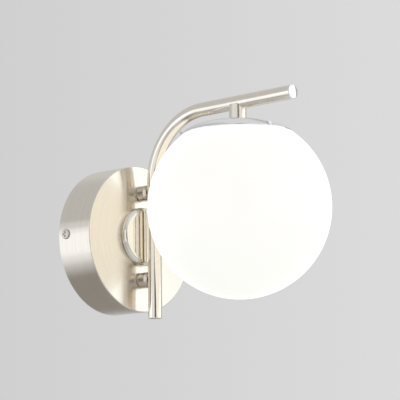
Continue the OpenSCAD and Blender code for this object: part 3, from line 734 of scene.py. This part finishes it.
def make_fitter_cap():
    """The chrome saucer over the globe's neck, with three screw bosses and a rolled rim."""
    height = crown_z - rim_z
    outer = cap_section(CAP_R, height, 56)
    inner = cap_section(CAP_R - CAP_WALL, height - CAP_WALL, 40)
    bore = SPIGOT_R + BRAZE_GAP
    outer = [p for p in outer if p.x > bore] + [Vector((bore, height))]
    inner = [Vector((bore, height - CAP_WALL))] + [p for p in reversed(inner) if p.x > bore]
    roll = arc((CAP_R - CAP_WALL / 2, 0), CAP_WALL / 2, 180, 360, 8)[1:-1]
    cap = stand(lathe("fitter_saucer", outer + inner + roll, 288), (0, globe_y, rim_z))
    centre = Vector((0, globe_y, box_centre("fitter_screw_front").z))
    bosses = []
    holes = []
    inside = CAP_R - CAP_WALL - BOSS_IN
    length = CAP_WALL + BOSS_IN + BOSS_OUT
    for index in range(len(FITTER_SCREWS)):
        way = fitter_way(index)
        corners = [(0, 0), (BOSS_R, 0), (BOSS_R, length), (0, length)]
        boss = lathe("boss", rounded(corners, [0, 0, 0.3 * MM, 0], 4), 48)
        bosses.append(stand(boss, centre + way * inside, way))
        hole = rod("hole", FITTER_HOLE_R, 3 * length, 32)
        holes.append(stand(hole, centre + way * (inside - length), way))
    combine(cap, bosses, "UNION")
    below_rim = rod("below_rim", 1.2 * CAP_R, BOSS_R)
    stand(below_rim, (0, globe_y, rim_z - CAP_WALL / 2 - BOSS_R))
    combine(cap, [below_rim] + holes)
    finish(cap, "fixture", bright_chrome, ["fitter_cap"])


def make_globe():
    """Blown opal glass: a sphere with a flat shoulder and a short neck with a fire-polished lip."""
    rise = math.sqrt(GLOBE_R ** 2 - SHOULDER_R ** 2)
    centre_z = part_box("globe")[1].z - NECK_H - rise
    inner_r = GLOBE_R - GLASS_WALL
    neck_in = NECK_R - GLASS_WALL
    inner_rise = math.sqrt(inner_r ** 2 - neck_in ** 2)
    start = math.degrees(math.asin(rise / GLOBE_R))
    inner_start = math.degrees(math.asin(min(1, inner_rise / inner_r)))
    short_of_shoulder = 0.6
    outside = arc((0, 0), GLOBE_R, -90, start - short_of_shoulder, 150)
    corners = [
        outside[-1], (SHOULDER_R, rise), (NECK_R, rise),
        (NECK_R, rise + NECK_H), (neck_in, rise + NECK_H), (neck_in, inner_rise),
    ]
    shoulder = rounded(corners, [0, 0.5 * MM, 0.7 * MM, 1.2 * MM, 1.2 * MM, 0], 6)
    inside = arc((0, 0), inner_r, inner_start, -90, 110)
    outline = outside[:-1] + shoulder[:-1] + inside
    outline[0] = Vector((0, -GLOBE_R))
    outline[-1] = Vector((0, -inner_r))
    globe = stand(lathe("opal_globe", outline, 256), (0, globe_y, centre_z))
    finish(globe, "globe", opal, ["globe"], sharp=60)


# Screws

def make_pan_screw(node, name, axis):
    """A cross-recessed pan head with a threaded shank."""
    low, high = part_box(node)
    length = abs((high - low).dot(axis))
    width = (high - low).z
    r = width / 2
    head_h = 1.2 * MM
    recess_h = 0.6 * MM
    shank_r = 1.95 * MM
    shank_l = length - head_h
    pitch = 0.7 * MM
    core_r = shank_r - 0.3 * MM
    corners = [(shank_r, 0), (r, 0), (r, head_h), (0, head_h)]
    head = rounded(corners, [0, 0.25 * MM, 0.62 * head_h, 0], 8)
    thread = []
    for k in range(int(shank_l / pitch), 0, -1):
        thread += [Vector((core_r, -k * pitch)), Vector((shank_r, -(k - 0.5) * pitch))]
    outline = [Vector((0, -shank_l)), Vector((core_r, -shank_l))] + thread + head
    seat = (low + high) / 2 + axis * (shank_l - length / 2)
    screw = stand(lathe(name, outline, 96), seat, axis)
    for turn in (0, 90):
        recess = block("recess", 0.6 * width, 0.13 * width, 2 * recess_h)
        recess.data.transform(Matrix.Rotation(math.radians(turn), 4, "Z"))
        combine(screw, [stand(recess, seat + axis * (head_h - recess_h), axis)])
    finish(screw, node, screw_nickel_painted_shade, [node])


def make_fitter_screw(node, index):
    """A small slotted cheese-head screw that clamps the glass neck."""
    way = fitter_way(index)
    centre = Vector((0, globe_y, box_centre(node).z))
    head_r = 1.8 * MM
    head_h = 1.0 * MM
    clearance = 0.1 * MM
    seat = CAP_R + BOSS_OUT + clearance
    tip = NECK_R + 3 * clearance
    shank_r = 1.45 * MM
    corners = [
        (0, tip - seat), (shank_r, tip - seat), (shank_r, 0),
        (head_r, 0), (head_r, head_h), (0, head_h),
    ]
    outline = rounded(corners, [0, 0.4 * MM, 0, 0.1 * MM, 0.35 * MM, 0], 5)
    screw = stand(lathe(node + "_screw", outline, 64), centre + way * seat, way)
    groove = block("groove", 3 * head_r, 0.6 * MM, head_h)
    stand(groove, centre + way * (seat + 0.5 * head_h), way, spin=math.radians(25))
    combine(screw, [groove])
    finish(screw, node, zinc_plate, [node])


# Pieces behind the canopy and inside the globe

def node_mesh(node):
    """A bmesh of a CAD node, with its doubled vertices merged."""
    mesh = bmesh.new()
    mesh.from_mesh(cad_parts[node].data)
    bmesh.ops.remove_doubles(mesh, verts=mesh.verts, dist=TINY)
    return mesh


def eased_copy(node, width, material):
    """A copy of a plain node with its flat faces made whole and its sharp edges rounded."""
    mesh = node_mesh(node)
    bmesh.ops.dissolve_limit(
        mesh, angle_limit=math.radians(1), verts=mesh.verts, edges=mesh.edges)
    piece = new_piece("eased_" + node, mesh)
    piece.matrix_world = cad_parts[node].matrix_world.copy()
    ease(piece, width)
    finish(piece, "fixture", material, [node])


def smooth_wire(node, material):
    """A copy of a faceted wire, made round."""
    mesh = node_mesh(node)
    bmesh.ops.join_triangles(
        mesh, faces=mesh.faces,
        angle_face_threshold=math.radians(30), angle_shape_threshold=math.radians(180))
    piece = new_piece("round_" + node, mesh)
    piece.matrix_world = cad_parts[node].matrix_world.copy()
    step = piece.modifiers.new("round", "SUBSURF")
    step.levels = 2
    bake(piece)
    finish(piece, "fixture", material, [node])


def screw_thread(depth, pitch, start, end):
    """A wave for lathe: a helical thread between two heights."""
    def wave(angle, height):
        if not start < height < end:
            return 0
        fade = min(1, (height - start) / pitch, (end - height) / pitch)
        return -depth * fade * (0.5 + 0.5 * math.cos(2 * math.pi * height / pitch - angle))
    return wave


def make_bulb_cap():
    """The bulb's screw cap: a rolled thread, and a cone that ends at the tip contact."""
    low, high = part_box("bulb_screw_cap")
    r = (high.x - low.x) / 2
    cone_h = 4 * MM
    tip_r = 4.5 * MM
    pitch = 3.6 * MM
    depth = 0.7 * MM
    metal_h = high.z - low.z - cone_h
    heights = [metal_h * k / 96 for k in range(97)]
    outline = [(0, 0)] + [(r, h) for h in heights]
    top = metal_h + cone_h
    outline += [(r - 2 * depth, metal_h + 0.3 * MM), (tip_r, top), (0, top)]
    thread_start = 2.5 * MM
    wave = screw_thread(depth, pitch, thread_start, metal_h + 0.01 * MM)
    cap = stand(lathe("bulb_thread", outline, 96, wave), (0, globe_y, low.z))
    finish(cap, "bulb", shell_nickel, ["bulb_screw_cap"], sharp=50)


def make_bulb_housing():
    """The white cone between screw cap and diffuser, with an upright rim."""
    low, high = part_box("bulb_housing")
    rim_r = (high.x - low.x) / 2
    collar = 0.35 * MM
    neck_r = box_size("bulb_screw_cap").x / 2 + collar
    height = high.z - low.z
    wall = 1.5 * MM
    neck_z = height - 2 * MM
    corners = [
        (rim_r - wall, 0), (rim_r, 0), (rim_r - 0.18 * MM, 1.5 * MM),
        (neck_r, neck_z), (neck_r, height), (0, height),
        (0, neck_z - wall), (neck_r - wall - collar, neck_z - wall),
    ]
    outline = rounded(corners, [0, 0.25 * MM, 0.8 * MM, 3 * MM, 0.6 * MM, 0, 0, 0.5 * MM], 6)
    housing = stand(lathe("bulb_cone", outline, 160), (0, globe_y, low.z))
    finish(housing, "bulb", white_shell, ["bulb_housing"])


def make_diffuser():
    """The bulb's frosted dome, with its wall and an eased rim."""
    low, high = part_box("bulb_diffuser")
    r = (high.x - low.x) / 2
    wall = 1.2 * MM
    rise = high.z - low.z - r
    rim = math.degrees(math.asin(rise / r))
    rim_in = math.degrees(math.asin(rise / (r - wall)))
    short_of_rim = 0.5
    outside = arc((0, 0), r, -90, rim - short_of_rim, 90)
    inside = arc((0, 0), r - wall, rim_in, -90, 60)
    outside[0] = Vector((0, -r))
    inside[-1] = Vector((0, wall - r))
    dome = stand(lathe("bulb_dome", outside + inside, 160), (0, globe_y, low.z + r))
    finish(dome, "bulb", bulb_opal, ["bulb_diffuser"], sharp=60)


# Copied nodes: node, width of the rounded edges in millimetres, slot, material
EASED = (
    ("wall_bracket", 0.3, "zinc", zinc_plate),
    ("earth_screw", 0.2, "brass", brass_metal),
    ("earth_lug", 0.15, "brass", brass_metal),
    ("terminal_block", 0.35, "white_plastic", white_shell),
    ("terminal_barrels", 0.1, "brass", brass_metal),
    ("terminal_screws", 0.12, "zinc", zinc_plate),
    ("block_fixing_screws", 0.15, "zinc", zinc_plate),
    ("disc_screw", 0.2, "zinc", zinc_plate),
    ("standoff_washers", 0.12, "zinc", zinc_plate),
    ("standoff_nuts", 0.3, "brass", brass_metal),
    ("nipple_washer", 0.12, "zinc", zinc_plate),
    ("nipple_nut", 0.3, "brass", brass_metal),
    ("lampholder_cap", 0.5, "white_plastic", white_shell),
    ("lampholder_skirt", 0.3, "white_plastic", white_shell),
)
WIRES = (
    ("live_wire", "brown_insulation", brown_skin),
    ("neutral_wire", "blue_insulation", blue_skin),
    ("earth_wire", "green_insulation", green_skin),
)

make_canopy()
make_disc()
make_standoff("upper_standoff")
make_standoff("lower_standoff")
make_arm()
make_plug("arm_end_cap", "bar_plug", -Y_AXIS, bright_chrome)
make_plug("arm_foot_cap", "foot_plug", -Z_AXIS, tube_nickel_painted_light)
make_stem()
make_fitter_cap()
make_globe()
make_pan_screw("canopy_screw_left", "side_screw_left", -X_AXIS)
make_pan_screw("canopy_screw_right", "side_screw_right", X_AXIS)
for index, node in enumerate(FITTER_SCREWS):
    make_fitter_screw(node, index)
for node, width, slot, material in EASED:
    eased_copy(node, width * MM, material)
for node, slot, material in WIRES:
    smooth_wire(node, material)
make_bulb_cap()
make_bulb_housing()
make_diffuser()


# Camera, stage and light

def make_camera():
    """The photograph's viewpoint, left of the lamp and a little below it; gives the way right."""
    forward = Vector((
        math.sin(CAMERA_YAW) * math.cos(CAMERA_PITCH),
        math.cos(CAMERA_YAW) * math.cos(CAMERA_PITCH),
        math.sin(CAMERA_PITCH),
    ))
    level = forward.cross(Z_AXIS).normalized()
    above = level.cross(forward)
    right = math.cos(CAMERA_ROLL) * level + math.sin(CAMERA_ROLL) * above
    up = math.cos(CAMERA_ROLL) * above - math.sin(CAMERA_ROLL) * level
    data = bpy.data.cameras.new("camera")
    data.lens = CAMERA_LENS
    data.sensor_width = SENSOR_WIDTH
    data.clip_start = NEAR_CLIP
    camera = bpy.data.objects.new("camera", data)
    bpy.context.scene.collection.objects.link(camera)
    turn = Matrix((right, up, -forward)).transposed().to_4x4()
    camera.matrix_world = Matrix.Translation(CAMERA_PLACE) @ turn
    bpy.context.scene.camera = camera
    return right


def make_world(across):
    """A pale studio: wall tones behind the lamp, a room with a dark end before it, a ceiling."""
    world = bpy.data.worlds.new("studio")
    bpy.context.scene.world = world
    world.use_nodes = True
    tree = world.node_tree
    background = tree.nodes["Background"]
    way = tree.nodes.new("ShaderNodeTexCoord").outputs["Generated"]

    def along(direction):
        made = tree.nodes.new("ShaderNodeVectorMath")
        made.operation = "DOT_PRODUCT"
        tree.links.new(way, made.inputs[0])
        made.inputs[1].default_value = direction
        return made.outputs["Value"]

    def share(value, span, smooth=True):
        made = tree.nodes.new("ShaderNodeMapRange")
        made.interpolation_type = "SMOOTHSTEP" if smooth else "LINEAR"
        made.inputs["From Min"].default_value = span[0]
        made.inputs["From Max"].default_value = span[1]
        tree.links.new(value, made.inputs["Value"])
        return made.outputs["Result"]

    def mixed(value, first, second):
        made = tree.nodes.new("ShaderNodeMix")
        made.data_type = "RGBA"
        tree.links.new(value, made.inputs["Factor"])
        for key, colour in (("A", first), ("B", second)):
            if isinstance(colour, tuple):
                made.inputs[key].default_value = (*colour, 1)
            else:
                tree.links.new(colour, made.inputs[key])
        return made.outputs["Result"]

    wall = mixed(share(along(across), WALL_SPAN, smooth=False), WALL_LEFT, WALL_RIGHT)
    room = mixed(share(along(DARK_END_WAY), DARK_END_SPAN), ROOM, DARK_END)
    room = mixed(share(along(Y_AXIS), ROOM_SPAN), room, wall)
    ceiling = mixed(share(along(Z_AXIS), CEILING_SPAN), room, CEILING)
    sides = mixed(share(along(across), FAR_LEFT_SPAN), FAR_LEFT, ceiling)
    tree.links.new(sides, background.inputs["Color"])


def softbox(name, bearing, height, distance, width, tall, radiance, colour):
    """A rectangular light that faces the lamp; bearing is degrees from -Y towards +X."""
    angle = math.radians(bearing)
    away = Vector((math.sin(angle) * distance, -math.cos(angle) * distance, height))
    data = bpy.data.lights.new(name, "AREA")
    data.shape = "RECTANGLE"
    data.size = width
    data.size_y = tall
    data.energy = radiance * width * tall * WATTS_PER_RADIANCE
    data.color = colour
    light = bpy.data.objects.new(name, data)
    bpy.context.scene.collection.objects.link(light)
    turn = away.to_track_quat("Z", "Y").to_matrix().to_4x4()
    light.matrix_world = Matrix.Translation(LIGHT_AIM + away) @ turn
    light.visible_camera = False


def make_floor():
    """A round floor of plain pale paper."""
    mesh = bmesh.new()
    bmesh.ops.create_circle(mesh, cap_ends=True, segments=96, radius=FLOOR_R)
    floor = new_piece("floor", mesh)
    floor.location = (0, 0, FLOOR_Z)
    floor.data.materials.append(studio_paper("floor_paper", FLOOR_PAPER))


def make_card():
    """A grey card under the lamp, as in a photographer's studio: it shows only in reflections."""
    mesh = bmesh.new()
    bmesh.ops.create_grid(mesh, x_segments=1, y_segments=1, size=0.5)
    bmesh.ops.scale(mesh, vec=(*CARD_SIZE, 1), verts=mesh.verts)
    card = stand(new_piece("card", mesh), CARD_PLACE, CARD_WAY)
    card.data.materials.append(studio_paper("card_paper", CARD_PAPER))
    card.visible_camera = False
    card.visible_diffuse = False
    card.visible_shadow = False


across = make_camera()
make_world(across)
make_floor()
make_card()
for front_light in FRONT_LIGHTS:
    softbox(*front_light)
for step, (low, high) in enumerate(LEFT_BACK_SPANS):
    softbox(
        "left_back_" + str(step), LEFT_BACK_BEARING, (low + high) / 2, LEFT_BACK_DISTANCE,
        LEFT_BACK_WIDTH, high - low, LEFT_BACK_RADIANCE, LEFT_BACK_COLOUR)

bpy.context.scene.view_settings.view_transform = "Standard"
